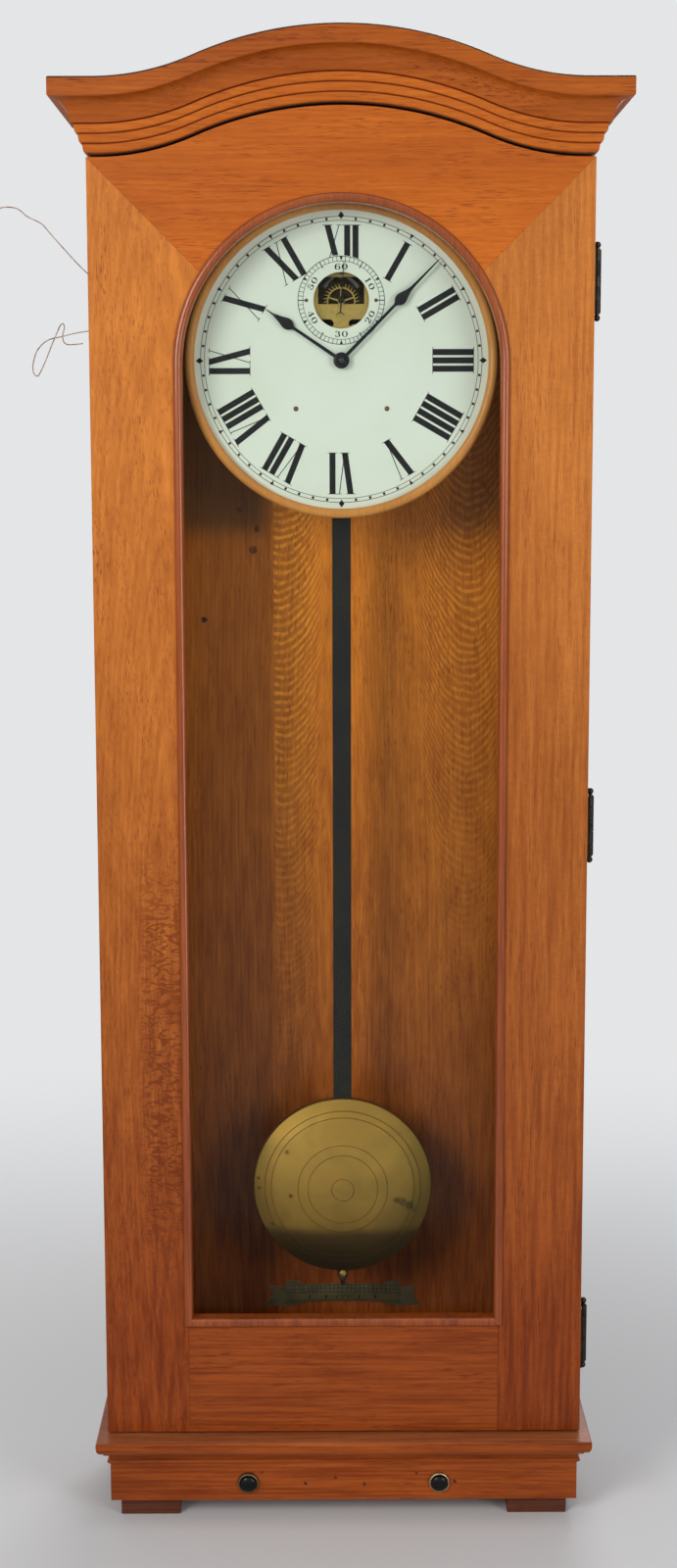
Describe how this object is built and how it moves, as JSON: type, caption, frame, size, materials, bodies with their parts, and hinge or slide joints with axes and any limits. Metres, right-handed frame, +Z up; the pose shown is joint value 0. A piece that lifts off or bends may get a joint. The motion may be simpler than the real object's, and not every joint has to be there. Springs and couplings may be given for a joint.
{
  "type": "electric wall clock",
  "caption": "Tall glazed wall clock: arched oak case and door, round dial with a seconds dial, electrically wound movement and a seconds pendulum.",
  "frame": {"origin": "centre of the hanger's hole, on the plane of the wall", "axes": "+Z up, +Y from the front to the wall, +X to the right as seen from the front"},
  "size_m": [0.6722, 0.226, 1.5762],
  "materials": {
    "oak": "varnished golden oak",
    "oak_dark": "varnished red-brown oak",
    "bezel_wood": "varnished yellow-brown wood",
    "bead_wood": "gloss varnished red-brown wood",
    "brass": "lacquered",
    "bob_brass": "aged and brushed",
    "bronze": "dark bronze",
    "steel": "brushed",
    "iron": "black enamel",
    "black_paint": "black",
    "dial_enamel": "satin off-white",
    "coil_cover": "silk-covered wire",
    "bakelite": "black, polished",
    "lead_cover": "insulated wire",
    "glass": "clear"
  },
  "bodies": {
    "case": {"back_board": "oak", "left_side": "oak", "right_side": "oak", "roof_board": "oak", "header": "oak", "crown_front": "oak", "crown_returns": "oak", "base_ledge": "oak_dark", "base_moulding": "oak_dark", "apron": "oak_dark", "feet": "oak_dark", "hanger_plate": "steel", "case_hinge_leaves": "bronze", "hinge_pins": "bronze", "beat_plate": "bronze", "movement_bracket": "iron", "suspension_cock": "iron", "front_plate": "brass", "back_plate": "brass", "pillars": "brass", "dial_posts": "brass", "dial_plate": "dial_enamel", "dial_numerals": "black_paint", "dial_screws": "brass", "bezel": "bezel_wood", "magnet_coils": "coil_cover", "magnet_core": "iron", "terminal_block": "bakelite", "button_rims": "bronze", "button_contacts": "brass", "upper_lead": "lead_cover", "lower_lead": "lead_cover"},
    "door": {"door_left_stile": "oak", "door_right_stile": "oak", "door_top_rail": "oak", "door_bottom_rail": "oak_dark", "door_glass": "glass", "glazing_bead": "bead_wood", "glass_stops": "oak", "door_hinge_leaves": "bronze", "door_catch": "brass"},
    "minute": {"centre_arbor": "brass", "spring_barrel": "brass", "cannon_pinion": "steel", "minute_hand": "black_paint", "hand_nut": "black_paint"},
    "hour": {"hour_wheel": "brass", "hour_hand": "black_paint"},
    "motion_wheel": {"minute_wheel": "brass"},
    "third": {"third_wheel": "brass"},
    "escape": {"escape_wheel": "brass", "seconds_hand": "black_paint"},
    "pallets": {"pallet_anchor": "steel"},
    "winding_armature": {"armature": "iron"},
    "pendulum": {"suspension_spring": "steel", "pendulum_rod": "black_paint"},
    "pendulum_bob": {"bob": "bob_brass"},
    "nut": {"rating_nut": "brass"},
    "left_push": {"left_button": "bakelite"},
    "right_push": {"right_button": "bakelite"}
  },
  "joints": [
    {"name": "door_swing", "type": "hinge", "parent": "case", "child": "door", "pos_m": [0.2615, -0.17, -0.675], "axis": [0, 0, 1], "range_deg": [0, 170]},
    {"name": "minute_spin", "type": "hinge", "parent": "case", "child": "minute", "pos_m": [0, -0.15, -0.19], "axis": [0, 1, 0], "continuous": true},
    {"name": "hour_spin", "type": "hinge", "parent": "case", "child": "hour", "pos_m": [0, -0.148, -0.19], "axis": [0, 1, 0], "continuous": true},
    {"name": "motion_spin", "type": "hinge", "parent": "case", "child": "motion_wheel", "pos_m": [-0.01273, -0.137, -0.20273], "axis": [0, 1, 0], "continuous": true},
    {"name": "third_spin", "type": "hinge", "parent": "case", "child": "third", "pos_m": [0.01297, -0.117, -0.15642], "axis": [0, 1, 0], "continuous": true},
    {"name": "seconds_spin", "type": "hinge", "parent": "case", "child": "escape", "pos_m": [0, -0.126, -0.1287], "axis": [0, 1, 0], "continuous": true},
    {"name": "pendulum_swing", "type": "hinge", "parent": "case", "child": "pendulum", "pos_m": [0, -0.092, -0.10042], "axis": [0, 1, 0], "range_deg": [-2.5, 2.5]},
    {"name": "pallet_rock", "type": "hinge", "parent": "case", "child": "pallets", "pos_m": [0, -0.117, -0.10042], "axis": [0, 1, 0], "range_deg": [-2.5, 2.5]},
    {"name": "bob_height", "type": "slide", "parent": "pendulum", "child": "pendulum_bob", "axis": [0, 0, 1], "range_m": [-0.002, 0.002]},
    {"name": "nut_turn", "type": "hinge", "parent": "pendulum_bob", "child": "nut", "pos_m": [0, -0.092, -1.197], "axis": [0, 0, 1], "range_deg": [-1440, 1440]},
    {"name": "armature_pull", "type": "hinge", "parent": "case", "child": "winding_armature", "pos_m": [-0.034, -0.117, -0.2253], "axis": [0, 1, 0], "range_deg": [0, 2.5], "stiffness_Nm_per_rad": 0.25, "springref_deg": -5.73},
    {"name": "left_press", "type": "slide", "parent": "case", "child": "left_push", "axis": [0, 1, 0], "range_m": [0, 0.002], "stiffness_N_per_m": 400, "springref_m": -0.001},
    {"name": "right_press", "type": "slide", "parent": "case", "child": "right_push", "axis": [0, 1, 0], "range_m": [0, 0.002], "stiffness_N_per_m": 400, "springref_m": -0.001}
  ],
  "couplings": [
    {"joint": "hour_spin", "follows": "minute_spin", "ratio": 0.083333},
    {"joint": "motion_spin", "follows": "minute_spin", "ratio": -0.33333},
    {"joint": "third_spin", "follows": "minute_spin", "ratio": -8},
    {"joint": "seconds_spin", "follows": "minute_spin", "ratio": 60},
    {"joint": "pallet_rock", "follows": "pendulum_swing", "ratio": 1},
    {"joint": "nut_turn", "follows": "bob_height", "rad_per_m": 12566}
  ]
}
